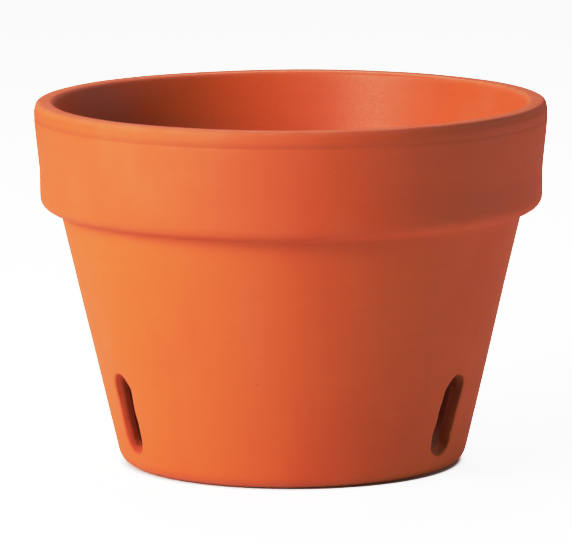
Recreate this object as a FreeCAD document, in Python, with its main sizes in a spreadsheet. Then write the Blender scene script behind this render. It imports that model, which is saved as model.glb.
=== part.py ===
import FreeCAD, Part
import Sketcher
import math
import os
from FreeCAD import Vector

# Slotted terracotta pot, all one piece of fired clay: a tapered wall on a flat foot, a wide rim
# band with a rounded lip, three tall slots low in the wall and a drain hole in the floor.
# Millimetres. The origin is the middle of the foot, +Z is up, and -Y is the front of the pot,
# which faces between two slots.

# Driving sizes: alias, value, what it is
pot_sizes = [
    ("rim_diameter", 203.2, "outside of the lip, at its widest"),
    ("pot_height", 145.0, "foot to the top of the lip"),
    ("base_diameter", 136.4, "outside of the wall at the foot, before its edge is rounded"),
    ("wall_thickness", 6.3, "wall at the floor, measured level"),
    ("floor_thickness", 7.5, "foot to the inside of the floor"),
    ("lip_thickness", 7.6, "lip at the very top, before it is rounded"),
    ("band_height", 42.5, "underside of the band to the top of the lip"),
    ("band_overhang", 7.8, "how far the band stands out from the wall under it"),
    ("band_flare", 1.9, "how far the lip stands out past the foot of the band"),
    ("flare_drop", 27.0, "top of the lip down to where the band starts to flare"),
    ("lip_drop", 7.7, "top of the lip down to the groove under it"),
    ("lip_outer_round", 5.0, "rounding of the lip outside"),
    ("lip_inner_round", 2.2, "rounding of the lip inside"),
    ("groove_width", 1.6, "mouth of the groove under the lip"),
    ("groove_depth", 0.4, "depth of that groove"),
    ("band_edge_round", 3.6, "rounding of the band's lower edge"),
    ("band_root_round", 1.6, "hollow where the band's underside meets the wall"),
    ("foot_round", 7.0, "rounding of the foot"),
    ("floor_round", 8.0, "hollow where the floor meets the wall inside"),
    ("drain_diameter", 25.0, "hole in the middle of the floor"),
    ("slot_width", 12.6, "slot across"),
    ("slot_length", 32.5, "slot from end to end, up the wall"),
    ("slot_sill", 0.8, "floor inside to the lower end of a slot"),
    ("slot_edge_round", 1.4, "softening of a slot's edge outside"),
    ("slot_count", 3, "slots, evenly spaced round the wall"),
]

doc = FreeCAD.newDocument("TerracottaPot")
sheet = doc.addObject("Spreadsheet::Sheet", "Sizes")
for row, (alias, value, note) in enumerate(pot_sizes, start=1):
    sheet.set(f"A{row}", note)
    sheet.set(f"B{row}", str(value))
    sheet.setAlias(f"B{row}", alias)
doc.recompute()

# Sizes that follow from the sheet
rim_radius = "Sizes.rim_diameter / 2"
base_radius = "Sizes.base_diameter / 2"
band_radius = f"({rim_radius} - Sizes.band_flare)"
shoulder_radius = f"({band_radius} - Sizes.band_overhang)"
shoulder_level = "(Sizes.pot_height - Sizes.band_height)"
flare_level = "(Sizes.pot_height - Sizes.flare_drop)"
groove_level = "(Sizes.pot_height - Sizes.lip_drop)"
lip_inner_radius = f"({rim_radius} - Sizes.lip_thickness)"
wall_lean = f"(({shoulder_radius} - {base_radius}) / {shoulder_level})"
floor_radius = f"({base_radius} + Sizes.floor_thickness * {wall_lean} - Sizes.wall_thickness)"
slot_radius = "Sizes.slot_width / 2"
slot_low_level = f"(Sizes.floor_thickness + Sizes.slot_sill + {slot_radius})"
slot_run = "(Sizes.slot_length - Sizes.slot_width)"

upright = Vector(0, 0, 1)


def size(expression):
    """The number that a sheet expression gives."""
    return float(sheet.evalExpression(expression))


def origin_feature(body, role):
    """The body's own origin plane or axis."""
    return next(item for item in body.Origin.OriginFeatures if item.Role == role)


def new_sketch(body, name, plane):
    sketch = body.newObject("Sketcher::SketchObject", name)
    sketch.AttachmentSupport = [(origin_feature(body, plane), "")]
    sketch.MapMode = "FlatFace"
    return sketch


def bind(sketch, kind, *where, expression):
    """Add one dimension to a sketch and tie it to the sheet."""
    index = sketch.addConstraint(Sketcher.Constraint(kind, *where, size(expression)))
    sketch.setExpression(f"Constraints[{index}]", expression)


def polygon_sketch(body, name, plane, corners):
    """Closed outline of straight lines, its corners placed by two sheet expressions each."""
    sketch = new_sketch(body, name, plane)
    points = [Vector(size(across), size(up), 0) for across, up in corners]
    count = len(points)
    for index in range(count):
        sketch.addGeometry(Part.LineSegment(points[index], points[(index + 1) % count]))
    for index in range(count):
        sketch.addConstraint(Sketcher.Constraint("Coincident", index, 2, (index + 1) % count, 1))
    for index, (across, up) in enumerate(corners):
        for kind, expression, axis in (("DistanceX", across, -2), ("DistanceY", up, -1)):
            if expression == "0":
                sketch.addConstraint(Sketcher.Constraint("PointOnObject", index, 1, axis))
            else:
                bind(sketch, kind, -1, 1, index, 1, expression=expression)
    return sketch


def ring_edges(feature, radius, level):
    """Names of the level round edges of this radius at this height."""
    found = []
    for number, edge in enumerate(feature.Shape.Edges, start=1):
        curve = edge.Curve
        if not isinstance(curve, Part.Circle):
            continue
        same_level = abs(curve.Center.z - size(level)) < 0.01
        if same_level and abs(curve.Radius - size(radius)) < 0.01:
            found.append(f"Edge{number}")
    return found


def slot_mouth_edges(feature):
    """Names of the edges where the slots break out of the wall's outer face."""
    slot_low, slot_high = size("Sizes.floor_thickness"), size(shoulder_level)
    found = []
    for number, edge in enumerate(feature.Shape.Edges, start=1):
        middle = edge.valueAt((edge.FirstParameter + edge.LastParameter) / 2)
        wall_radius = size(f"{base_radius} + {wall_lean} * {middle.z}")
        on_wall = abs(math.hypot(middle.x, middle.y) - wall_radius) < 0.01
        is_short = edge.Length < size("Sizes.slot_length")
        if on_wall and is_short and slot_low < middle.z < slot_high:
            found.append(f"Edge{number}")
    return found


def round_edges(body, name, feature, edges, radius):
    """Fillet on the named edges; its radius stays tied to the sheet."""
    fillet = body.newObject("PartDesign::Fillet", name)
    fillet.Base = (feature, edges)
    fillet.setExpression("Radius", radius)
    doc.recompute()
    return fillet


def check_cut(before, feature):
    """A cut that points the wrong way takes nothing off, so the volumes are compared."""
    if not feature.Shape.Volume < before.Shape.Volume - 1:
        raise RuntimeError(f"{feature.Label} cut nothing")


# Clay body: the half section is turned once round the Z axis
pot = doc.addObject("PartDesign::Body", "pot")
pot.Label = "pot"

section = polygon_sketch(pot, "PotSection", "XZ_Plane", [
    ("0", "0"),
    (base_radius, "0"),
    (shoulder_radius, shoulder_level),
    (band_radius, shoulder_level),
    (band_radius, flare_level),
    (rim_radius, groove_level),
    (rim_radius, "Sizes.pot_height"),
    (lip_inner_radius, "Sizes.pot_height"),
    (floor_radius, "Sizes.floor_thickness"),
    ("0", "Sizes.floor_thickness"),
])
turned = pot.newObject("PartDesign::Revolution", "Turned")
turned.Profile = section
turned.ReferenceAxis = (section, ["V_Axis"])
turned.Angle = 360
doc.recompute()

# Rounded edges, from the lip down, each limited by the clay that it rounds
lip_outer_round = "min(Sizes.lip_outer_round; 0.64 * Sizes.lip_thickness; 0.9 * Sizes.lip_drop)"
lip_inner_round = "min(Sizes.lip_inner_round; 0.3 * Sizes.lip_thickness)"
band_edge_round = "min(Sizes.band_edge_round; 0.6 * Sizes.band_overhang)"
band_root_round = "min(Sizes.band_root_round; 0.25 * Sizes.band_overhang)"
roundings = [
    ("LipOutside", rim_radius, "Sizes.pot_height", lip_outer_round),
    ("LipInside", lip_inner_radius, "Sizes.pot_height", lip_inner_round),
    ("BandEdge", band_radius, shoulder_level, band_edge_round),
    ("BandRoot", shoulder_radius, shoulder_level, band_root_round),
    ("FloorHollow", floor_radius, "Sizes.floor_thickness", "Sizes.floor_round"),
    ("Foot", base_radius, "0", "Sizes.foot_round"),
]
shaped = turned
for name, radius, level, rounding in roundings:
    shaped = round_edges(pot, name, shaped, ring_edges(shaped, radius, level), rounding)

# Groove that sets the lip off from the band: a V that reaches as far out of the clay as into it,
# so that its mouth, halfway along, is the groove's width
groove_tip = f"({rim_radius} - Sizes.groove_depth)"
groove_back = f"({rim_radius} + Sizes.groove_depth)"
groove_sketch = polygon_sketch(pot, "GrooveSection", "XZ_Plane", [
    (groove_tip, groove_level),
    (groove_back, f"({groove_level} - Sizes.groove_width)"),
    (groove_back, f"({groove_level} + Sizes.groove_width)"),
])
groove = pot.newObject("PartDesign::Groove", "LipGroove")
groove.Profile = groove_sketch
groove.ReferenceAxis = (groove_sketch, ["V_Axis"])
groove.Angle = 360
doc.recompute()
check_cut(shaped, groove)

# Drain hole in the middle of the floor
drain_sketch = new_sketch(pot, "DrainCircle", "XY_Plane")
drain_radius = "Sizes.drain_diameter / 2"
drain_sketch.addGeometry(Part.Circle(Vector(0, 0, 0), upright, size(drain_radius)))
drain_sketch.addConstraint(Sketcher.Constraint("Coincident", 0, 3, -1, 1))
bind(drain_sketch, "Radius", 0, expression=drain_radius)
drain = pot.newObject("PartDesign::Pocket", "DrainHole")
drain.Profile = drain_sketch
drain.Type = "ThroughAll"
drain.Reversed = True
doc.recompute()
check_cut(groove, drain)

# One slot through the back of the wall: an upright run with a half circle at each end
slot_sketch = new_sketch(pot, "SlotOutline", "XZ_Plane")
half_width = size(slot_radius)
low = size(slot_low_level)
high = low + size(slot_run)
top_end = Part.Circle(Vector(0, high, 0), upright, half_width)
low_end = Part.Circle(Vector(0, low, 0), upright, half_width)
top_arc = slot_sketch.addGeometry(Part.ArcOfCircle(top_end, 0, math.pi))
left_side = slot_sketch.addGeometry(
    Part.LineSegment(Vector(-half_width, high, 0), Vector(-half_width, low, 0)))
low_arc = slot_sketch.addGeometry(Part.ArcOfCircle(low_end, math.pi, 2 * math.pi))
right_side = slot_sketch.addGeometry(
    Part.LineSegment(Vector(half_width, low, 0), Vector(half_width, high, 0)))
around = [top_arc, left_side, low_arc, right_side]
for index, piece in enumerate(around):
    slot_sketch.addConstraint(Sketcher.Constraint("Tangent", piece, 2, around[(index + 1) % 4], 1))
for arc in (top_arc, low_arc):
    slot_sketch.addConstraint(Sketcher.Constraint("PointOnObject", arc, 3, -2))
bind(slot_sketch, "Radius", top_arc, expression=slot_radius)
bind(slot_sketch, "DistanceY", -1, 1, low_arc, 3, expression=slot_low_level)
bind(slot_sketch, "DistanceY", low_arc, 3, top_arc, 3, expression=slot_run)
slot = pot.newObject("PartDesign::Pocket", "Slot")
slot.Profile = slot_sketch
slot.setExpression("Length", rim_radius)
doc.recompute()
check_cut(drain, slot)

# The same slot all round the wall
slots = pot.newObject("PartDesign::PolarPattern", "Slots")
slots.Originals = [slot]
slots.Axis = (origin_feature(pot, "Z_Axis"), [""])
slots.Angle = 360
slots.setExpression("Occurrences", "Sizes.slot_count")
pot.Tip = slots
doc.recompute()
check_cut(slot, slots)

# The clay is softened where each slot breaks out of the wall
mouths = slot_mouth_edges(slots)
softened = round_edges(pot, "SlotEdges", slots, mouths, "Sizes.slot_edge_round")
pot.Tip = softened
doc.recompute()

# Nothing is written unless every object came out sound
bodies = [pot]
for item in doc.Objects:
    if "Invalid" in item.State or "Error" in item.State:
        raise RuntimeError(f"{item.Label} failed: {item.State}")
for body in bodies:
    if body.Shape.isNull() or not body.Shape.isValid() or len(body.Shape.Solids) != 1:
        raise RuntimeError(f"{body.Label} isn't one sound solid")

os.makedirs("parts", exist_ok=True)
for body in bodies:
    body.Shape.exportStep(f"parts/{body.Label}.step")
    box = body.Shape.optimalBoundingBox()
    sides = [round(side, 2) for side in (box.XLength, box.YLength, box.ZLength)]
    print(body.Label, "volume", round(body.Shape.Volume), "mm3, box", sides, "mm")
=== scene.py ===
import math
import bpy
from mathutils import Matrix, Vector


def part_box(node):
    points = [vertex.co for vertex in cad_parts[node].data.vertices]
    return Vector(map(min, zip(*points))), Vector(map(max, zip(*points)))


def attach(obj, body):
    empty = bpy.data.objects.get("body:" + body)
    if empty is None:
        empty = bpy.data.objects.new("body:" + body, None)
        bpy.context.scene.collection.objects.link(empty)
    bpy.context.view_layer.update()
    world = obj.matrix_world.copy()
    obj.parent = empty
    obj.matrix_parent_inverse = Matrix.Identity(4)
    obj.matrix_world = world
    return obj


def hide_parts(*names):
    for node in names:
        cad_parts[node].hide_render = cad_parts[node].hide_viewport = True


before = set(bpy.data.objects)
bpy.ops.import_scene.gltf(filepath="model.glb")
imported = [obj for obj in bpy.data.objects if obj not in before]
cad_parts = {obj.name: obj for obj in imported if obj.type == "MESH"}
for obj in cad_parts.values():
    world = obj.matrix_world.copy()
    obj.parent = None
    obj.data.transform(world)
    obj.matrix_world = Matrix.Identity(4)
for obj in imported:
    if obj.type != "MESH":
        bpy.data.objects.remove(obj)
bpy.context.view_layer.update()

mm = 0.001
closeBy = 0.01 * mm  # two places nearer than this are the same place
fullShare = 0.99  # a vertex weight above this is a full one


def say(stage):
    print("terracotta pot:", stage)


def deselectAll():
    bpy.ops.object.select_all(action="DESELECT")


def makeActive(piece):
    deselectAll()
    piece.select_set(True)
    bpy.context.view_layer.objects.active = piece


def openMesh(piece, mode="VERT"):
    makeActive(piece)
    bpy.ops.object.mode_set(mode="EDIT")
    bpy.ops.mesh.select_mode(type=mode)
    bpy.ops.mesh.select_all(action="DESELECT")


def closeMesh():
    bpy.ops.object.mode_set(mode="OBJECT")


def choose(piece, kind, test):  # kind is "vertices", "edges" or "polygons", and the mesh stays open
    bpy.ops.mesh.select_all(action="DESELECT")
    bpy.ops.object.mode_set(mode="OBJECT")
    for item in getattr(piece.data, kind):
        item.select = bool(test(item))
    bpy.ops.object.mode_set(mode="EDIT")


def applyAll(piece):
    makeActive(piece)
    for modifier in list(piece.modifiers):
        bpy.ops.object.modifier_apply(modifier=modifier.name)


# the clay body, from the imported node's own box and its wall sizes
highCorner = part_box("pot")[1]
pot = {
    "rimRadius": highCorner[0],
    "height": highCorner[2],
    "baseRadius": 68.2 * mm,
    "wall": 6.3 * mm,
    "floor": 7.5 * mm,
    "lip": 7.6 * mm,
    "bandHeight": 42.8 * mm,
    "bandOverhang": 7.8 * mm,
    "bandFlare": 1.9 * mm,
    "flareDrop": 27.0 * mm,  # down to where the band starts to widen
    "lipDrop": 6.5 * mm,  # down to the groove under the lip
    "grooveHalfWidth": 0.8 * mm,
    "grooveDepth": 0.14 * mm,
    "lipLean": 0.8 * mm,  # how far the lip's outside has sunk inwards at its top
    "lipLeanDrop": 3.6 * mm,
    "lipLeanRound": 4.0 * mm,
    "footRound": 7.0 * mm,
    "footSteps": 10,
    "rootRound": 2.4 * mm,
    "bandEdgeRound": 5.3 * mm,
    "flareRound": 40.0 * mm,
    "lipOuterRound": 1.6 * mm,
    "lipInnerRound": 2.2 * mm,
    "hollowRound": 8.0 * mm,
    "drainRadius": 12.5 * mm,
    "drainEdgeRound": 1.5 * mm,
    "turns": 300,  # faces round the pot
    "mergeReach": 0.02 * mm,
}
slot = {
    "width": 12.6 * mm,
    "length": 32.5 * mm,
    "sill": 0.8 * mm,  # above the floor
    "count": 3,
    "mouthRound": 1.4 * mm,
    "innerMouthRound": 0.9 * mm,
    "innerFlare": 1.35,  # how much wider the slot opens on the inside, where the waste was pared away
    "flareReach": 3.6 * mm,
    "collar": 2.2 * mm,  # flat ring round the slot that its rounded edge is cut from
    "windowRows": 28,  # faces taken out of the wall to make room for the slot
    "windowColumns": 7,  # either side of the slot's middle
    "windowMargin": 2.9 * mm,
    "hollowSteps": 12,  # in the hollow between floor and wall
    "hollowStepsBelow": 3,  # of them, those under the window
    "cutterSides": 64,
    "cutterStart": 0.4 * pot["rimRadius"],  # well inside the wall
    "cutterReach": 0.6 * pot["rimRadius"],
    "ringCuts": 2,  # loops between the window and the slot
    "wallCuts": 5,  # loops through the wall's thickness
    "mouthSteps": 4,
}
slotBottom = pot["floor"] + slot["sill"]
slotTop = slotBottom + slot["length"]

bandBottom = pot["height"] - pot["bandHeight"]
bandRadius = pot["rimRadius"] - pot["bandFlare"]
shoulderRadius = bandRadius - pot["bandOverhang"]
lipRadius = pot["rimRadius"] - pot["lip"]
grooveLevel = pot["height"] - pot["lipDrop"]
flareLevel = pot["height"] - pot["flareDrop"]
wallLean = (shoulderRadius - pot["baseRadius"]) / bandBottom
floorCornerRadius = pot["baseRadius"] + wallLean * pot["floor"] - pot["wall"] * math.hypot(1, wallLean)
innerLean = (lipRadius - floorCornerRadius) / (pot["height"] - pot["floor"])
windowTop = slotTop + slot["windowMargin"]


def outerWall(level):
    return pot["baseRadius"] + wallLean * level


def innerWall(level):
    return floorCornerRadius + innerLean * (level - pot["floor"])


# a shallow line turned under the lip, its five points on a cosine
grooveCorners = []
for share in (-1, -0.5, 0, 0.5, 1):
    dip = pot["grooveDepth"] * (1 + math.cos(math.pi * share)) / 2
    level = grooveLevel + pot["grooveHalfWidth"] * share
    grooveCorners.append((pot["rimRadius"] - dip, level, 0, 0, 2 if share == 1 else 1))

innerRows = slot["windowRows"] + slot["hollowStepsBelow"] - slot["hollowSteps"]  # as many as outside

# the half section, once round: radius, level, how round the corner is, steps in it, rows to the next
sectionCorners = [
    (pot["drainRadius"], 0, pot["drainEdgeRound"], 4, 14),
    (pot["baseRadius"], 0, pot["footRound"], pot["footSteps"], slot["windowRows"]),
    (outerWall(windowTop), windowTop, 0, 0, 42),
    (shoulderRadius, bandBottom, pot["rootRound"], 5, 3),
    (bandRadius, bandBottom, pot["bandEdgeRound"], 7, 9),
    (bandRadius, flareLevel, pot["flareRound"], 3, 12),
    *grooveCorners,
    (pot["rimRadius"], pot["height"] - pot["lipLeanDrop"], pot["lipLeanRound"], 3, 2),
    (pot["rimRadius"] - pot["lipLean"], pot["height"], pot["lipOuterRound"], 7, 2),
    (lipRadius, pot["height"], pot["lipInnerRound"], 6, 52),
    (innerWall(windowTop), windowTop, 0, 0, innerRows),
    (floorCornerRadius, pot["floor"], pot["hollowRound"], slot["hollowSteps"], 18),
    (pot["drainRadius"], pot["floor"], pot["drainEdgeRound"], 4, 3),
]


def roundedPoints(before, corner, after, roundness, steps):  # an arc that touches both of a corner's sides
    into = (corner - before).normalized()
    out = (after - corner).normalized()
    turn = into.angle(out)
    reach = roundness * math.tan(turn / 2)
    inward = (out - into).normalized()
    centre = corner + inward * roundness / math.cos(turn / 2)
    start = corner - into * reach - centre
    points = []
    for step in range(steps + 1):
        share = step / steps
        first = math.sin((1 - share) * turn) / math.sin(turn)
        second = math.sin(share * turn) / math.sin(turn)
        points.append(centre + start * first + (corner + out * reach - centre) * second)
    return points


def sectionPoints():
    places = [Vector((corner[0], 0, corner[1])) for corner in sectionCorners]
    count = len(places)
    rounds = []
    for i, corner in enumerate(sectionCorners):
        roundness, steps = corner[2:4]
        if roundness > 0:
            rounds.append(roundedPoints(places[i - 1], places[i], places[(i + 1) % count], roundness, steps))
        else:
            rounds.append([places[i]])
    points = []
    for i, corner in enumerate(sectionCorners):
        points += rounds[i]
        start = rounds[i][-1]
        end = rounds[(i + 1) % count][0]
        rows = corner[4]
        points += [start.lerp(end, row / rows) for row in range(1, rows)]
    return points


def drawSection(name):
    points = sectionPoints()
    bpy.ops.mesh.primitive_plane_add(size=mm)
    section = bpy.context.object
    section.name = name
    bpy.ops.object.mode_set(mode="EDIT")
    bpy.ops.mesh.select_all(action="SELECT")
    bpy.ops.mesh.merge(type="CENTER")
    bpy.ops.transform.translate(value=points[0])
    for here, there in zip(points, points[1:]):
        bpy.ops.mesh.extrude_region_move(TRANSFORM_OT_translate={"value": there - here})
    ends = (points[0], points[-1])
    choose(section, "vertices", lambda vertex: min((vertex.co - end).length for end in ends) < closeBy)
    bpy.ops.mesh.edge_face_add()  # closes the section
    closeMesh()
    return section


def turnDegrees(point, middle=90):  # how far round the pot's axis a point is from the slot's middle
    return math.degrees(math.atan2(point[1], point[0])) - middle


def useGroup(piece, name):
    if name not in piece.vertex_groups:
        piece.vertex_groups.new(name=name)
    piece.vertex_groups.active_index = piece.vertex_groups[name].index


def keepAs(piece, name, notIn=None):
    useGroup(piece, name)
    bpy.ops.object.vertex_group_assign()
    if notIn:
        useGroup(piece, notIn)
        bpy.ops.object.vertex_group_remove_from()


def pickGroup(piece, name):
    bpy.ops.mesh.select_all(action="DESELECT")
    useGroup(piece, name)
    bpy.ops.object.vertex_group_select()


def fullWeight(vertex, group):  # a vertex made by a cut takes only a part of its neighbours' weight
    return any(entry.group == group and entry.weight > fullShare for entry in vertex.groups)


def pickExactly(piece, names):
    groups = [piece.vertex_groups[name].index for name in names]
    choose(piece, "vertices", lambda vertex: any(fullWeight(vertex, group) for group in groups))


def refineRing(piece, fromGroup, toGroup, skin):  # more loops between a window and its slot, laid on the wall
    start = piece.vertex_groups[fromGroup].index
    end = piece.vertex_groups[toGroup].index
    vertices = piece.data.vertices
    openMesh(piece, "EDGE")

    def crosses(edge):
        a, b = (vertices[v] for v in edge.vertices)
        return (fullWeight(a, start) and fullWeight(b, end)) or (fullWeight(b, start) and fullWeight(a, end))

    choose(piece, "edges", crosses)
    bpy.ops.mesh.subdivide(number_cuts=slot["ringCuts"])
    bpy.ops.mesh.select_mode(type="VERT")

    def between(vertex):
        weights = [entry.weight for entry in vertex.groups if entry.group in (start, end)]
        return bool(weights) and 0 < min(weights) and max(weights) < fullShare

    choose(piece, "vertices", between)
    keepAs(piece, "ring" + toGroup)
    closeMesh()
    wrap(piece, skin, "ring" + toGroup)


def spinSector(section):  # one share of the pot, with its slot's middle at +Y
    openMesh(section)
    bpy.ops.mesh.select_all(action="SELECT")
    share = 2 * math.pi / slot["count"]
    steps = pot["turns"] // slot["count"]
    bpy.ops.mesh.spin(steps=steps, angle=share, center=(0, 0, 0), axis=(0, 0, 1))
    bpy.ops.mesh.select_all(action="SELECT")
    bpy.ops.mesh.normals_make_consistent(inside=False)
    closeMesh()
    middle = sum((vertex.co for vertex in section.data.vertices), Vector()) / len(section.data.vertices)
    section.rotation_euler[2] = math.pi / 2 - math.atan2(middle.y, middle.x)
    makeActive(section)
    bpy.ops.object.transform_apply(location=False, rotation=True, scale=False)


def slotCutter(name, margin):  # a tube of the slot's own outline, standing across the wall
    radius = slot["width"] / 2 + margin
    straight = slot["length"] - slot["width"]
    lowCentre = slotBottom + slot["width"] / 2
    bpy.ops.mesh.primitive_circle_add(
        vertices=slot["cutterSides"], radius=radius,
        location=(0, slot["cutterStart"], lowCentre), rotation=(math.pi / 2, 0, 0))
    cutter = bpy.context.object
    cutter.name = name
    bpy.ops.object.transform_apply(location=True, rotation=True, scale=True)
    openMesh(cutter)
    choose(cutter, "vertices", lambda vertex: vertex.co.z > lowCentre + closeBy)
    bpy.ops.transform.translate(value=(0, 0, straight))
    bpy.ops.mesh.select_all(action="SELECT")
    bpy.ops.mesh.extrude_region_move(TRANSFORM_OT_translate={"value": (0, slot["cutterReach"], 0)})
    closeMesh()
    return cutter


def wrap(piece, target, group, straightIn=False):  # lays a group on a surface, the nearest way or along Y
    modifier = piece.modifiers.new(name="wrap " + group, type="SHRINKWRAP")
    modifier.target = target
    modifier.vertex_group = group
    modifier.wrap_method = "NEAREST_SURFACEPOINT"
    if straightIn:
        modifier.wrap_method = "PROJECT"
        modifier.use_project_y = True
        modifier.use_negative_direction = True
        modifier.use_positive_direction = True
    applyAll(piece)


def cutSlot(sector):
    makeActive(sector)
    bpy.ops.object.duplicate()
    skin = bpy.context.object
    skin.name = "uncutWall"
    collarCutter = slotCutter("collarCutter", slot["collar"])
    mouthCutter = slotCutter("mouthCutter", 0)
    halfTurn = (slot["windowColumns"] + 0.01) * 360 / pot["turns"]  # just past the last column's middle
    foot = Vector((pot["baseRadius"], 0, 0))
    shoulder = Vector((shoulderRadius, 0, bandBottom))
    footEnd = roundedPoints(Vector(), foot, shoulder, pot["footRound"], pot["footSteps"])[-1].z
    hollowTurn = (math.pi / 2 - math.atan(innerLean)) * slot["hollowStepsBelow"] / slot["hollowSteps"]
    hollowStart = pot["floor"] + pot["hollowRound"] * (1 - math.cos(hollowTurn))
    sides = {"Outer": footEnd, "Inner": hollowStart}

    def inWindow(face, side):
        low = sides[side] < face.center.z < windowTop and abs(turnDegrees(face.center)) < halfTurn
        midWall = outerWall(face.center.z) - pot["wall"] / 2
        outside = math.hypot(face.center.x, face.center.y) > midWall
        return low and outside == (side == "Outer")

    for side in sides:
        openMesh(sector, "FACE")
        choose(sector, "polygons", lambda face: inWindow(face, side))
        bpy.ops.mesh.region_to_loop()
        bpy.ops.mesh.select_mode(type="VERT")
        keepAs(sector, "window" + side)
        bpy.ops.mesh.select_mode(type="FACE")
        choose(sector, "polygons", lambda face: inWindow(face, side))
        bpy.ops.mesh.delete(type="FACE")
        bpy.ops.mesh.select_mode(type="VERT")
        pickGroup(sector, "window" + side)
        before = "window" + side
        if side == "Outer":
            bpy.ops.mesh.extrude_region_move()
            keepAs(sector, "collar" + side, notIn=before)
            before = "collar" + side
        bpy.ops.mesh.extrude_region_move()
        keepAs(sector, "mouth" + side, notIn=before)
        closeMesh()
        if side == "Outer":
            wrap(sector, collarCutter, "collar" + side)
            wrap(sector, skin, "collar" + side, straightIn=True)
        wrap(sector, mouthCutter, "mouth" + side)
        wrap(sector, skin, "mouth" + side, straightIn=True)
        ringEnd = "collar" if side == "Outer" else "mouth"
        refineRing(sector, "window" + side, ringEnd + side, skin)
    openMesh(sector)
    pickExactly(sector, ("mouthOuter", "mouthInner"))
    bpy.ops.mesh.bridge_edge_loops(number_cuts=slot["wallCuts"], interpolation="LINEAR")
    pickExactly(sector, ("mouthInner",))
    bpy.ops.transform.resize(
        value=(slot["innerFlare"], 1, 1), center_override=(0, 0, 0), use_proportional_edit=True,
        proportional_edit_falloff="SMOOTH", proportional_size=slot["flareReach"])
    for side, roundness in (("Outer", slot["mouthRound"]), ("Inner", slot["innerMouthRound"])):
        pickExactly(sector, ("mouth" + side,))
        bpy.ops.mesh.bevel(offset=roundness, segments=slot["mouthSteps"], affect="EDGES", clamp_overlap=True)
    closeMesh()
    sector.vertex_groups.clear()
    for helper in (skin, collarCutter, mouthCutter):
        bpy.data.objects.remove(helper, do_unlink=True)


def repeatRound(sector, count):  # what repeats is modelled once and copied round the axis
    parts = [sector]
    for turn in range(1, count):
        makeActive(sector)
        bpy.ops.object.duplicate()
        copy = bpy.context.object
        copy.rotation_euler[2] = 2 * math.pi * turn / count
        bpy.ops.object.transform_apply(location=False, rotation=True, scale=False)
        parts.append(copy)
    deselectAll()
    for part in parts:
        part.select_set(True)
    bpy.context.view_layer.objects.active = sector
    bpy.ops.object.join()
    openMesh(sector)
    bpy.ops.mesh.select_all(action="SELECT")
    bpy.ops.mesh.remove_doubles(threshold=pot["mergeReach"])
    bpy.ops.mesh.normals_make_consistent(inside=False)
    closeMesh()
    bpy.ops.object.shade_smooth()


body = drawSection("pot_body")
say("half section drawn, %d points" % len(body.data.vertices))
spinSector(body)
cutSlot(body)
say("sector spun and its slot cut, %d faces" % len(body.data.polygons))
repeatRound(body, slot["count"])
say("pot closed, %d faces" % len(body.data.polygons))

# what the hands and the kiln did to it: nothing on a real pot is quite round, level or straight
hand = {
    "rimSpread": 0.3 * mm,  # the rim is this much wider to the sides, and narrower front to back
    "swell": 0.5 * mm,  # slow hollows and swells in the wall
    "swellSize": 55 * mm,
    "rings": 0.09 * mm,  # level ridges left by the fingers
    "ringSize": 5 * mm,
    "ringStretch": 9,
    "slotWaver": 0.7 * mm,
    "slotWaverSize": 6 * mm,
    "slotShift": 0.9,  # degrees towards the front, for the slot at the front right
    "slotLean": 2.4,  # its lower end goes this much further
    "slotHeel": 6 * mm,  # how much of the slot is that lower end
    "slotGrip": 7,  # degrees either side of the slot's middle that move with it
    "slotRim": 2 * mm,  # and how much above and below it
    "slotGive": 30 * mm,  # how far round it the clay gives
    "stillBelow": 1 * mm,  # the foot stays flat
    "freeAbove": 9 * mm,
}


def spreadRim(piece):
    bpy.ops.object.add(type="LATTICE")
    cage = bpy.context.object
    cage.scale = (2 * pot["rimRadius"], 2 * pot["rimRadius"], pot["height"])
    cage.location = (0, 0, pot["height"] / 2)
    cage.data.interpolation_type_u = "KEY_LINEAR"
    cage.data.interpolation_type_v = "KEY_LINEAR"
    cage.data.interpolation_type_w = "KEY_LINEAR"
    share = hand["rimSpread"] / pot["rimRadius"]
    for point in cage.data.points:
        if point.co.z > 0:
            point.co_deform.x = point.co.x * (1 + share)
            point.co_deform.y = point.co.y * (1 - share)
    modifier = piece.modifiers.new(name="spread rim", type="LATTICE")
    modifier.object = cage
    applyAll(piece)
    bpy.data.objects.remove(cage, do_unlink=True)


def waver(piece, name, size, depth, group, stretch=1, detail=1):  # pushes the clay in and out
    texture = bpy.data.textures.new(name, "CLOUDS")
    texture.noise_scale = size
    texture.noise_depth = detail
    bpy.ops.object.empty_add(location=(0, 0, 0))
    spread = bpy.context.object
    spread.scale = (stretch, stretch, 1)
    modifier = piece.modifiers.new(name=name, type="DISPLACE")
    modifier.texture = texture
    modifier.texture_coords = "OBJECT"
    modifier.texture_coords_object = spread
    modifier.strength = depth
    modifier.mid_level = 0.5
    modifier.vertex_group = group
    applyAll(piece)
    bpy.data.objects.remove(spread, do_unlink=True)


def slotSide(vertex):  # full on the cut faces, fading out across the rounded mouths
    spot = vertex.co
    if spot.z > windowTop:
        return 0
    share = 360 / slot["count"]
    aside = math.radians((turnDegrees(spot) + share / 2) % share - share / 2)
    across = math.hypot(spot.x, spot.y) * math.sin(aside)
    reach = slot["width"] / 2
    beyond = spot.z - min(max(spot.z, slotBottom + reach), slotTop - reach)
    away = math.hypot(across, beyond) - reach
    return max(0, 1 - max(0, away) / slot["collar"])


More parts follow.
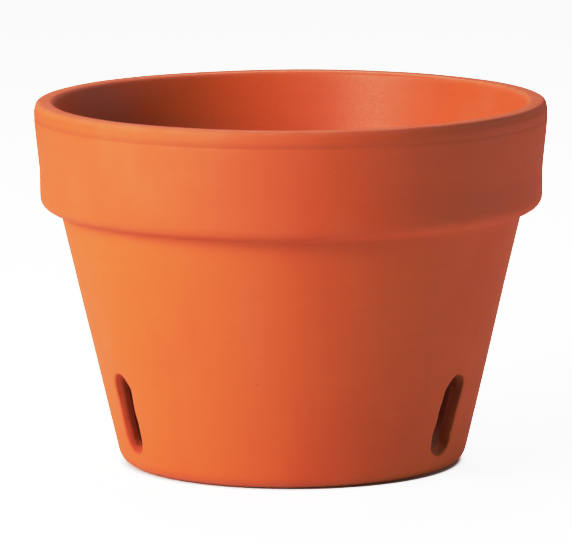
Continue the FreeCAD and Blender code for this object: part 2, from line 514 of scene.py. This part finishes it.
def turnSlot(piece, middle, top, angle):  # carries the clay at a slot, up to this height, round the pot
    def held(vertex):
        beside = abs(turnDegrees(vertex.co, middle)) < hand["slotGrip"]
        return beside and slotBottom - hand["slotRim"] < vertex.co.z < top

    openMesh(piece)
    choose(piece, "vertices", held)
    bpy.ops.transform.rotate(
        value=math.radians(angle), orient_axis="Z", center_override=(0, 0, 0),  # clockwise when positive
        use_proportional_edit=True, proportional_edit_falloff="SMOOTH", proportional_size=hand["slotGive"])
    closeMesh()


def groupWeights(piece, name, weightOf):
    group = piece.vertex_groups.new(name=name)
    for vertex in piece.data.vertices:
        weight = weightOf(vertex)
        if weight > 0:
            group.add([vertex.index], weight, "REPLACE")


def aboveFoot(vertex):
    return min(1, max(0, (vertex.co.z - hand["stillBelow"]) / (hand["freeAbove"] - hand["stillBelow"])))


frontRight = 90 - 360 / slot["count"]  # degrees round from +X
groupWeights(body, "slotSides", slotSide)
groupWeights(body, "aboveFoot", aboveFoot)
waver(body, "slot waver", hand["slotWaverSize"], hand["slotWaver"], "slotSides", detail=0)
waver(body, "swell", hand["swellSize"], hand["swell"], "aboveFoot")
waver(body, "rings", hand["ringSize"], hand["rings"], "aboveFoot", hand["ringStretch"])
spreadRim(body)
turnSlot(body, frontRight, slotTop + hand["slotRim"], hand["slotShift"])
turnSlot(body, frontRight, slotBottom + hand["slotHeel"], hand["slotLean"])
body.vertex_groups.clear()
say("pot made less than perfect")


# nodes, and the shader node groups that the clay materials share
def newGroup(name, inputs, outputs):  # an input is its name, its kind and its starting value
    tree = bpy.data.node_groups.new(name, "ShaderNodeTree")
    for label, kind, start in inputs:
        socket = tree.interface.new_socket(name=label, in_out="INPUT", socket_type="NodeSocket" + kind)
        if start is not None:
            socket.default_value = start
    for label, kind in outputs:
        tree.interface.new_socket(name=label, in_out="OUTPUT", socket_type="NodeSocket" + kind)
    return tree, addNode(tree, "NodeGroupInput"), addNode(tree, "NodeGroupOutput")


def addNode(tree, kind, inputs=None, **settings):  # an input is a value, or another node's output
    node = tree.nodes.new(kind)
    for name, value in settings.items():
        setattr(node, name, value)
    for name, value in (inputs or {}).items():
        if isinstance(value, bpy.types.NodeSocket):
            tree.links.new(value, node.inputs[name])
        else:
            node.inputs[name].default_value = value
    return node


def calc(tree, operation, first, second=None, third=None):
    values = {0: first}
    if second is not None:
        values[1] = second
    if third is not None:
        values[2] = third
    return addNode(tree, "ShaderNodeMath", values, operation=operation).outputs[0]


def rise(tree, value, low, high, toLow=0, toHigh=1):  # a smooth step from low to high
    ranges = {"Value": value, "From Min": low, "From Max": high, "To Min": toLow, "To Max": toHigh}
    return addNode(tree, "ShaderNodeMapRange", ranges, interpolation_type="SMOOTHSTEP").outputs[0]


def mixColors(tree, share, first, second, blend="MIX"):
    node = addNode(tree, "ShaderNodeMix", data_type="RGBA", blend_type=blend)
    shareIn, firstIn, secondIn = (node.inputs[i] for i in (0, 6, 7))  # the sockets that work on colours
    for socket, value in ((shareIn, share), (firstIn, first), (secondIn, second)):
        if isinstance(value, bpy.types.NodeSocket):
            tree.links.new(value, socket)
        else:
            socket.default_value = value
    return node.outputs[2]


def noise(tree, vector, scale, detail=3.0, roughness=0.55, distortion=0.0):
    return addNode(tree, "ShaderNodeTexNoise", {
        "Vector": vector, "Scale": scale, "Detail": detail, "Roughness": roughness,
        "Distortion": distortion}).outputs["Fac"]


def upright(tree, vector, share):  # draws a pattern out up the pot, or with a share over 1 flattens it
    scale = (1, 1, share)
    return addNode(tree, "ShaderNodeVectorMath", {0: vector, 1: scale}, operation="MULTIPLY").outputs[0]


def darken(tree, tone, mask, amount):  # takes this much off a tone where the mask is full
    return calc(tree, "MULTIPLY", tone, calc(tree, "MULTIPLY_ADD", mask, -amount, 1))


# the patterns in the clay: a scale is in repeats per metre, and the rest are shares unless they say otherwise
grit = {
    "coarse": 0.3,  # of the fine grain's scale
    "coarseShare": 0.6,
    "poreScale": 260.0,
    "poreSize": 0.05,  # of a pore's cell, at the least
    "poreSpread": 0.12,
    "poreFloor": 0.4,  # of the pore's size
    "poreDepth": 1.6,
}
wheel = {
    "wanderScale": 14.0,
    "wander": 0.6 * mm,  # how far a line strays up and down
    "breaks": 5.0,  # how often a line breaks up on its way round
    "patchScale": 20.0,
    "patchFlat": 2,
    "faintest": 0.25,  # of a line's full depth
}
kiln = {
    "wideScale": 11.0,
    "wideTall": 0.7,
    "closeScale": 60.0,
    "closeTall": 0.5,
    "closeShare": 0.25,
    "hotRange": (0.5, 0.68),
    "paleRange": (0.48, 0.3),
}
rubbing = {
    "scale": 90.0,
    "range": (0.35, 0.6),
    "broken": 0.5,  # how much of the wear comes and goes
}


def buildGrain():  # the sand and fine grit in the clay, and the odd open pore
    tree, start, end = newGroup(
        "clayGrain",
        [("Vector", "Vector", None), ("Grain Scale", "Float", 1900.0), ("Pore Share", "Float", 0.14)],
        [("Height", "Float"), ("Speckle", "Float"), ("Pores", "Float")])
    vector = start.outputs["Vector"]
    scale = start.outputs["Grain Scale"]
    fine = noise(tree, vector, scale, 2.0, 0.6)
    coarse = noise(tree, vector, calc(tree, "MULTIPLY", scale, grit["coarse"]), 2.0, 0.5)
    cells = addNode(tree, "ShaderNodeTexVoronoi", {"Vector": vector, "Scale": grit["poreScale"]})
    lot = addNode(tree, "ShaderNodeSeparateColor", {"Color": cells.outputs["Color"]})  # one draw per cell
    chosen = calc(tree, "LESS_THAN", lot.outputs[0], start.outputs["Pore Share"])
    size = calc(tree, "MULTIPLY_ADD", lot.outputs[1], grit["poreSpread"], grit["poreSize"])
    bottom = calc(tree, "MULTIPLY", size, grit["poreFloor"])
    pores = calc(tree, "MULTIPLY", rise(tree, cells.outputs["Distance"], size, bottom), chosen)
    fineShare = calc(tree, "MULTIPLY", fine, 1 - grit["coarseShare"])
    sand = calc(tree, "MULTIPLY_ADD", coarse, grit["coarseShare"], fineShare)
    height = calc(tree, "SUBTRACT", sand, calc(tree, "MULTIPLY", pores, grit["poreDepth"]))
    tree.links.new(height, end.inputs["Height"])
    tree.links.new(rise(tree, fine, 0.3, 0.7), end.inputs["Speckle"])
    tree.links.new(pores, end.inputs["Pores"])
    return tree


def buildWheelMarks():  # faint level lines left by turning, broken up round the pot
    tree, start, end = newGroup(
        "wheelMarks",
        [("Vector", "Vector", None), ("Lines", "Float", 420.0)],
        [("Height", "Float"), ("Streaks", "Float")])
    vector = start.outputs["Vector"]
    parts = addNode(tree, "ShaderNodeSeparateXYZ", {"Vector": vector})
    wobble = noise(tree, vector, wheel["wanderScale"], 1.0)
    level = calc(tree, "MULTIPLY_ADD", wobble, wheel["wander"], parts.outputs["Z"])
    flat = addNode(tree, "ShaderNodeCombineXYZ", {
        "X": calc(tree, "MULTIPLY", parts.outputs["X"], wheel["breaks"]),
        "Y": calc(tree, "MULTIPLY", parts.outputs["Y"], wheel["breaks"]),
        "Z": calc(tree, "MULTIPLY", level, start.outputs["Lines"])}).outputs[0]
    lines = calc(tree, "SUBTRACT", noise(tree, flat, 1.0, 3.0, 0.6), 0.5)
    cloudy = noise(tree, upright(tree, vector, wheel["patchFlat"]), wheel["patchScale"], 2.0)
    patches = rise(tree, cloudy, 0.35, 0.65, wheel["faintest"], 1)
    height = calc(tree, "MULTIPLY_ADD", lines, patches, 0.5)
    tree.links.new(height, end.inputs["Height"])
    tree.links.new(rise(tree, height, 0.35, 0.65), end.inputs["Streaks"])
    return tree


def buildFlush():  # how the kiln coloured the clay, in soft clouds
    tree, start, end = newGroup(
        "firingFlush",
        [("Vector", "Vector", None), ("Clay", "Color", (0.6, 0.127, 0.04, 1)),
         ("Hot", "Color", (0.6, 0.1, 0.02, 1)), ("Pale", "Color", (0.6, 0.17, 0.08, 1)),
         ("Amount", "Float", 1.0)],
        [("Color", "Color")])
    vector = start.outputs["Vector"]
    amount = start.outputs["Amount"]
    wide = noise(tree, upright(tree, vector, kiln["wideTall"]), kiln["wideScale"], 2.0, 0.5, 0.4)
    close = noise(tree, upright(tree, vector, kiln["closeTall"]), kiln["closeScale"], 3.0, 0.6)
    wideShare = calc(tree, "MULTIPLY", wide, 1 - kiln["closeShare"])
    clouds = calc(tree, "MULTIPLY_ADD", close, kiln["closeShare"], wideShare)
    hot = calc(tree, "MULTIPLY", rise(tree, clouds, *kiln["hotRange"]), amount)
    pale = calc(tree, "MULTIPLY", rise(tree, clouds, *kiln["paleRange"]), amount)
    warm = mixColors(tree, hot, start.outputs["Clay"], start.outputs["Hot"])
    tree.links.new(mixColors(tree, pale, warm, start.outputs["Pale"]), end.inputs["Color"])
    return tree


def buildEdgeWear():  # clay rubbed paler round the pot near one level
    tree, start, end = newGroup(
        "edgeWear",
        [("Vector", "Vector", None), ("Level", "Float", 0.1), ("Reach", "Float", 0.002)],
        [("Wear", "Float")])
    vector = start.outputs["Vector"]
    parts = addNode(tree, "ShaderNodeSeparateXYZ", {"Vector": vector})
    away = calc(tree, "ABSOLUTE", calc(tree, "SUBTRACT", parts.outputs["Z"], start.outputs["Level"]))
    near = rise(tree, away, start.outputs["Reach"], 0.0)
    rubbed = rise(tree, noise(tree, vector, rubbing["scale"], 4.0, 0.65), *rubbing["range"])
    share = calc(tree, "MULTIPLY_ADD", rubbed, rubbing["broken"], 1 - rubbing["broken"])
    tree.links.new(calc(tree, "MULTIPLY", near, share), end.inputs["Wear"])
    return tree


grainGroup = buildGrain()
wheelGroup = buildWheelMarks()
flushGroup = buildFlush()
wearGroup = buildEdgeWear()

clayLooks = {  # in the order of the body's material slots
    "terracottaOutside": {
        "band": (0.6, 0.121, 0.031, 1),
        "wall": (0.62, 0.131, 0.024, 1),
        "hot": (0.6, 0.106, 0.02, 1),
        "pale": (0.6, 0.146, 0.05, 1),
        "worn": (0.63, 0.2, 0.1, 1),
        "paintedDepthShade": 0.0,  # how much painted shade darkens towards the bottom of the pot
        "paintedShadeRight": 0.0,  # how much painted shade darkens towards the right, the side away from the key light
        "paintedGrooveShade": 0.16,  # how much painted shade darkens the groove under the lip
        "flush": 1.0,
        "grainScale": 1900.0,
        "poreShare": 0.025,
        "lines": 420.0,
        "lineTone": 0.025,
        "lineDepth": 0.06 * mm,
        "grainDepth": 0.05 * mm,
        "roughness": (0.6, 0.72),
        "shine": 0.44,
        "wear": 0.5,
    },
    "terracottaInside": {
        "band": (0.64, 0.125, 0.027, 1),
        "wall": (0.6, 0.11, 0.025, 1),
        "hot": (0.58, 0.1, 0.022, 1),
        "pale": (0.6, 0.16, 0.07, 1),
        "worn": (0.63, 0.2, 0.1, 1),
        "paintedDepthShade": 0.6,
        "paintedShadeRight": 0.0,
        "paintedGrooveShade": 0.0,
        "flush": 1.0,
        "grainScale": 1700.0,
        "poreShare": 0.05,
        "lines": 300.0,
        "lineTone": 0.04,
        "lineDepth": 0.12 * mm,
        "grainDepth": 0.06 * mm,
        "roughness": (0.4, 0.52),
        "shine": 0.5,
        "wear": 0.4,
    },
    "terracottaCut": {
        # the cut clay's own colour, set brighter than the outside's as painted light on the slots' cut faces
        "band": (0.72, 0.14, 0.05, 1),
        "wall": (0.72, 0.14, 0.05, 1),
        "hot": (0.56, 0.085, 0.02, 1),
        "pale": (0.6, 0.15, 0.06, 1),
        "worn": (0.6, 0.16, 0.08, 1),
        "paintedDepthShade": 0.0,
        "paintedShadeRight": 0.45,
        "paintedGrooveShade": 0.0,
        "flush": 0.8,
        "grainScale": 1100.0,
        "poreShare": 0.3,
        "lines": 160.0,
        "lineTone": 0.03,
        "lineDepth": 0.1 * mm,
        "grainDepth": 0.18 * mm,
        "roughness": (0.85, 0.95),
        "shine": 0.35,
        "wear": 0.0,
    },
}

clayDetail = {
    "wallBelow": 12 * mm,  # the wall's colour turns into the band's from this far below the band's foot
    "bandAbove": 8 * mm,  # to this far above it
    "lipWear": 3 * mm,
    "footWear": 4 * mm,
    "speckle": 0.07,  # how much the grain changes the tone
    "poreShade": 0.3,
    "deepDull": 0.4,  # how much rougher the bottom of the pot is
    "grooveShadeTop": 3.2 * mm,  # above the groove, where the painted shade fades out
    "grooveShadeEdge": 0.3 * mm,  # above the groove, where the painted shade is darkest
    "grooveShadeFoot": 0.5 * mm,  # below the groove, where it stops
    "grooveShadeEnd": 75 * mm,  # how far to the right it goes
}


def placeGroup(tree, group, inputs):
    return addNode(tree, "ShaderNodeGroup", inputs, node_tree=group)


def buildClay(name, look):
    material = bpy.data.materials.new(name)
    material.use_nodes = True
    tree = material.node_tree
    shader = tree.nodes["Principled BSDF"]
    place = addNode(tree, "ShaderNodeTexCoord").outputs["Object"]
    parts = addNode(tree, "ShaderNodeSeparateXYZ", {"Vector": place})
    level = parts.outputs["Z"]
    grain = placeGroup(tree, grainGroup, {
        "Vector": place, "Grain Scale": look["grainScale"], "Pore Share": look["poreShare"]})
    marks = placeGroup(tree, wheelGroup, {"Vector": place, "Lines": look["lines"]})

    upper = rise(tree, level, bandBottom - clayDetail["wallBelow"], bandBottom + clayDetail["bandAbove"])
    clay = mixColors(tree, upper, look["wall"], look["band"])
    color = placeGroup(tree, flushGroup, {
        "Vector": place, "Clay": clay, "Hot": look["hot"], "Pale": look["pale"],
        "Amount": look["flush"]}).outputs["Color"]
    for edge, reach in ((pot["height"], clayDetail["lipWear"]), (0, clayDetail["footWear"])):
        wear = placeGroup(tree, wearGroup, {"Vector": place, "Level": edge, "Reach": reach})
        share = calc(tree, "MULTIPLY", wear.outputs["Wear"], look["wear"])
        color = mixColors(tree, share, color, look["worn"])

    speckle = clayDetail["speckle"]
    tone = calc(tree, "MULTIPLY_ADD", grain.outputs["Speckle"], speckle, 1 - speckle / 2)
    streaks = calc(tree, "SUBTRACT", marks.outputs["Streaks"], 0.5)
    tone = calc(tree, "MULTIPLY_ADD", streaks, look["lineTone"], tone)
    pores = calc(tree, "MULTIPLY", grain.outputs["Pores"], clayDetail["poreShade"])
    tone = calc(tree, "SUBTRACT", tone, pores)
    roughness = rise(tree, grain.outputs["Speckle"], 0, 1, *look["roughness"])
    if look["paintedDepthShade"] > 0:  # painted shade: the inside is darkened towards the bottom, where the pot's depth keeps the light out, and made duller there
        depth = rise(tree, level, bandBottom, pot["floor"])
        tone = darken(tree, tone, depth, look["paintedDepthShade"])
        roughness = calc(tree, "MULTIPLY_ADD", depth, clayDetail["deepDull"], roughness)
    if look["paintedGrooveShade"] > 0:  # painted shade in the crease under the lip: darkest at the groove's line, fading upwards and fading out towards the right
        top = rise(tree, level, grooveLevel + clayDetail["grooveShadeTop"], grooveLevel + clayDetail["grooveShadeEdge"])
        foot = rise(tree, level, grooveLevel - clayDetail["grooveShadeFoot"], grooveLevel)
        side = rise(tree, parts.outputs["X"], clayDetail["grooveShadeEnd"], 0)
        paintedGrooveShade = calc(tree, "MULTIPLY", calc(tree, "MULTIPLY", top, foot), side)
        tone = darken(tree, tone, paintedGrooveShade, look["paintedGrooveShade"])
    if look["paintedShadeRight"] > 0:  # painted shade: the right side, away from the key light, is darkened, so the cut face of the slot at the front right looks shaded
        tone = darken(tree, tone, rise(tree, parts.outputs["X"], 0, pot["baseRadius"]), look["paintedShadeRight"])
    gray = addNode(tree, "ShaderNodeCombineColor", {"Red": tone, "Green": tone, "Blue": tone}).outputs[0]
    tree.links.new(mixColors(tree, 1.0, color, gray, "MULTIPLY"), shader.inputs["Base Color"])
    tree.links.new(roughness, shader.inputs["Roughness"])

    lines = addNode(tree, "ShaderNodeBump", {
        "Strength": 1.0, "Distance": look["lineDepth"], "Height": marks.outputs["Height"]})
    sand = addNode(tree, "ShaderNodeBump", {
        "Strength": 1.0, "Distance": look["grainDepth"], "Height": grain.outputs["Height"],
        "Normal": lines.outputs["Normal"]})
    tree.links.new(sand.outputs["Normal"], shader.inputs["Normal"])
    shader.inputs["Specular IOR Level"].default_value = look["shine"]
    return material


for name, look in clayLooks.items():
    body.data.materials.append(buildClay(name, look))

outsideClay, insideClay, cutClay = range(len(clayLooks))
borders = {  # how far each clay reaches into the next
    "aboveWindow": 2 * mm,
    "lipInside": 1 * mm,  # the inside's, out onto the lip
    "outerSkin": 0.4 * mm,
    "innerSkin": 0.35 * mm,
    "floorSkin": 0.1 * mm,
}


def clayAt(face):
    spot = face.center
    around = math.hypot(spot.x, spot.y)
    inward = face.normal.x * spot.x + face.normal.y * spot.y < 0
    if around < pot["drainRadius"] + pot["drainEdgeRound"]:
        return cutClay
    if spot.z > windowTop + borders["aboveWindow"]:
        return insideClay if inward and around < lipRadius + borders["lipInside"] else outsideClay
    if spot.z < pot["floor"] / 2 or around > outerWall(spot.z) - borders["outerSkin"]:
        return outsideClay
    if around < innerWall(spot.z) + borders["innerSkin"] or spot.z < pot["floor"] + borders["floorSkin"]:
        return insideClay
    return cutClay


for face in body.data.polygons:
    face.material_index = clayAt(face)
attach(body, "root")
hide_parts("pot")
say("clay materials built")

# stage: floor, world, camera and lights
stage = {
    "floorSize": 16,
    "floorColor": (0.8, 0.8, 0.79, 1),
    "floorGlow": 0.105,  # what the floor gives the pot besides its own reflection
    "floorSeen": 1.7,  # what the camera sees on top of that, so the floor stays pale
    "clearFrom": 0.97 * pot["baseRadius"],  # the floor is dark under the pot, out to the foot's edge
    "clearTo": pot["baseRadius"] + 2 * mm,
    "worldLight": 0.04,
    "worldSeen": 2.2,
    "worldGlint": 0.2,  # the pale room mirrored in the clay where it is seen at a low angle
}
view = {
    "turn": 1.45,  # degrees
    "lift": 8.78,
    "roll": -0.27,
    "distance": 24 * pot["rimRadius"],
    "aimHeight": 0.7418 * pot["rimRadius"],
    "aimSide": -2.2 * mm,
    "lens": 384.7,
    "sensor": 36,
    "farthest": 60,  # metres that the camera sees
}
lights = {  # turn and lift in degrees, distance, width and height in metres, power, and whether it glints
    "key": (-44, 27, 1.3, 0.5, 0.6, 9.9, True),
    "side": (-68, 24, 1.3, 0.7, 0.5, 12.2, False),
    "edge": (94, 3, 1.6, 0.8, 0.3, 2.4, True),
    "back": (118, 6, 1.6, 0.9, 0.5, 3.2, False),
    "top": (-170, 60, 1.3, 0.8, 0.8, 7, True),
}
lightAim = 0.55 * pot["height"]
grading = {
    "white": 2.5,
    "curve": (
        (0.012, 0.028), (0.048, 0.096), (0.1, 0.25), (0.18, 0.525), (0.28, 0.75), (0.4, 0.865), (0.6, 0.91)),
}


def buildFloor():
    bpy.ops.mesh.primitive_plane_add(size=stage["floorSize"])
    floor = bpy.context.object
    floor.name = "studio_floor"
    material = bpy.data.materials.new("paleFloor")
    material.use_nodes = True
    tree = material.node_tree
    shader = tree.nodes["Principled BSDF"]
    shader.inputs["Base Color"].default_value = stage["floorColor"]
    shader.inputs["Roughness"].default_value = 1
    shader.inputs["Specular IOR Level"].default_value = 0
    shader.inputs["Emission Color"].default_value = (1, 1, 1, 1)
    seen = addNode(tree, "ShaderNodeLightPath").outputs["Is Camera Ray"]
    place = addNode(tree, "ShaderNodeTexCoord").outputs["Object"]
    away = addNode(tree, "ShaderNodeVectorMath", {0: place}, operation="LENGTH").outputs["Value"]
    clear = rise(tree, away, stage["clearFrom"], stage["clearTo"])
    glow = calc(tree, "MULTIPLY_ADD", seen, stage["floorSeen"], stage["floorGlow"])
    tree.links.new(calc(tree, "MULTIPLY", glow, clear), shader.inputs["Emission Strength"])
    floor.data.materials.append(material)


def buildWorld():
    world = bpy.data.worlds.new("studioWorld")
    bpy.context.scene.world = world
    world.use_nodes = True
    tree = world.node_tree
    background = tree.nodes["Background"]
    background.inputs["Color"].default_value = (1, 1, 1, 1)
    path = addNode(tree, "ShaderNodeLightPath")
    seen = path.outputs["Is Camera Ray"]
    mirrored = path.outputs["Is Glossy Ray"]
    strength = calc(tree, "MULTIPLY_ADD", seen, stage["worldSeen"], stage["worldLight"])
    strength = calc(tree, "MULTIPLY_ADD", mirrored, stage["worldGlint"], strength)
    tree.links.new(strength, background.inputs["Strength"])


def directionFrom(turn, lift):  # a unit vector towards a place, from degrees round from the front and up
    turn = math.radians(turn)
    lift = math.radians(lift)
    return Vector((math.sin(turn) * math.cos(lift), -math.cos(turn) * math.cos(lift), math.sin(lift)))


def placeCamera():
    turn = math.radians(view["turn"])
    aim = Vector((view["aimSide"] * math.cos(turn), view["aimSide"] * math.sin(turn), view["aimHeight"]))
    outward = directionFrom(view["turn"], view["lift"])
    bpy.ops.object.camera_add(location=aim + outward * view["distance"])
    camera = bpy.context.object
    camera.name = "studio_camera"
    camera.rotation_euler = (-outward).to_track_quat("-Z", "Y").to_euler()
    camera.rotation_euler.rotate_axis("Z", math.radians(view["roll"]))
    camera.data.sensor_width = view["sensor"]
    camera.data.lens = view["lens"]
    camera.data.clip_end = view["farthest"]
    bpy.context.scene.camera = camera


def placeLight(name, turn, lift, distance, width, height, power, glint):
    outward = directionFrom(turn, lift)
    bpy.ops.object.light_add(type="AREA", location=Vector((0, 0, lightAim)) + outward * distance)
    lamp = bpy.context.object
    lamp.name = name + "_light"
    lamp.rotation_euler = (-outward).to_track_quat("-Z", "Y").to_euler()
    lamp.data.shape = "RECTANGLE"
    lamp.data.size = width
    lamp.data.size_y = height
    lamp.data.energy = power
    lamp.visible_glossy = glint  # a soft light without glint leaves no sheen on the clay


def setTone():
    settings = bpy.context.scene.view_settings
    settings.view_transform = "Standard"
    settings.look = "None"
    settings.use_curve_mapping = True
    mapping = settings.curve_mapping
    mapping.white_level = [grading["white"]] * 3
    shared = mapping.curves[3]  # the one for red, green and blue together
    for x, y in grading["curve"]:
        shared.points.new(x, y)
    for point in shared.points:
        point.handle_type = "AUTO_CLAMPED"
    mapping.update()


buildFloor()
buildWorld()
placeCamera()
for name, values in lights.items():
    placeLight(name, *values)
setTone()
say("floor, camera and lights placed")
